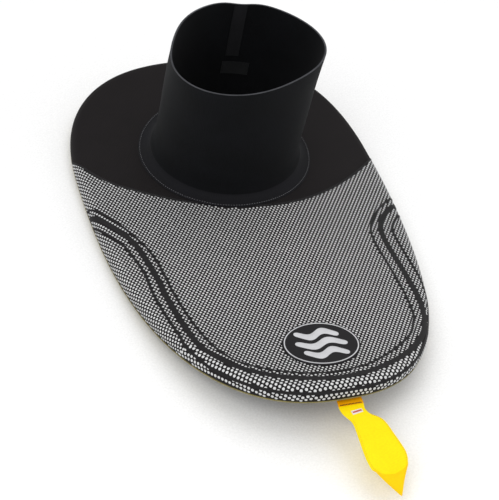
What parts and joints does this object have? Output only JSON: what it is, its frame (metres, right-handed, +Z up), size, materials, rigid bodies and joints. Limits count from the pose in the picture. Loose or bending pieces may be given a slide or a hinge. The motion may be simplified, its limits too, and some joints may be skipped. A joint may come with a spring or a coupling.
{
  "type": "kayak spray skirt",
  "caption": "Elasticated neoprene cockpit cover with a waist tube that leans both ways, an oval badge on its bow and a swinging grab tab under it.",
  "frame": {"origin": "bottom centre of the whole skirt at rest, tab included, on the ground that its side edges lie on", "axes": "+Z up along the waist tube, +Y towards the stern, -Y towards the bow and the grab tab, +X to the paddler's right"},
  "size_m": [0.5202, 1.04, 0.2819],
  "materials": {
    "black_neoprene": "matt jersey-faced foam rubber",
    "printed_neoprene": "matt jersey-faced foam rubber with raised pale grip dots",
    "tube_neoprene": "matt jersey-faced foam rubber",
    "seam_tape": "matt glued tape",
    "aramid_edge": "woven aramid binding, olive gold",
    "elastic_cord": "braided",
    "crimp_metal": "satin",
    "woven_label": "satin weave",
    "badge_rubber": "matt moulded",
    "badge_mark": "matt moulded, pale grey",
    "yellow_fabric": "coated, semi-matt, bright yellow",
    "tab_stiffener": "sheet foam"
  },
  "bodies": {
    "deck": {"deck_rear_panel": "black_neoprene", "deck_front_panel": "printed_neoprene", "panel_seam_tape": "seam_tape", "edge_guard": "aramid_edge", "elastic_cord": "elastic_cord", "cord_crimp": "crimp_metal", "cord_sleeve": "seam_tape", "tube_flange": "tube_neoprene", "tube_flex_lower": "tube_neoprene", "base_tape": "seam_tape", "badge_backing": "badge_rubber", "badge_ring": "badge_mark", "badge_wave_1": "badge_mark", "badge_wave_2": "badge_mark", "badge_wave_3": "badge_mark", "tab_strap": "yellow_fabric", "strap_patch": "seam_tape"},
    "tube_neck": {"neck_band": "tube_neoprene", "tube_flex_upper": "tube_neoprene"},
    "waist_tube": {"tube_wall": "tube_neoprene", "back_seam_tape": "seam_tape", "size_label": "woven_label"},
    "grab_tab": {"tab_upper_ply": "yellow_fabric", "tab_lower_ply": "yellow_fabric", "tab_core": "tab_stiffener", "tab_label": "woven_label"}
  },
  "joints": [
    {"name": "tube_pitch", "type": "hinge", "parent": "deck", "child": "tube_neck", "pos_m": [0, 0.2559, 0.0619], "axis": [1, 0, 0], "range_deg": [-12, 12], "stiffness_Nm_per_rad": 6, "deforming": ["tube_flex_lower"]},
    {"name": "tube_roll", "type": "hinge", "parent": "tube_neck", "child": "waist_tube", "pos_m": [0, 0.2498, 0.1019], "axis": [0, 1, 0], "range_deg": [-10, 10], "stiffness_Nm_per_rad": 6, "deforming": ["tube_flex_upper"]},
    {"name": "tab_swing", "type": "hinge", "parent": "deck", "child": "grab_tab", "pos_m": [0, -0.351, 0.05665], "axis": [1, 0, 0], "range_deg": [-100, 80]}
  ]
}
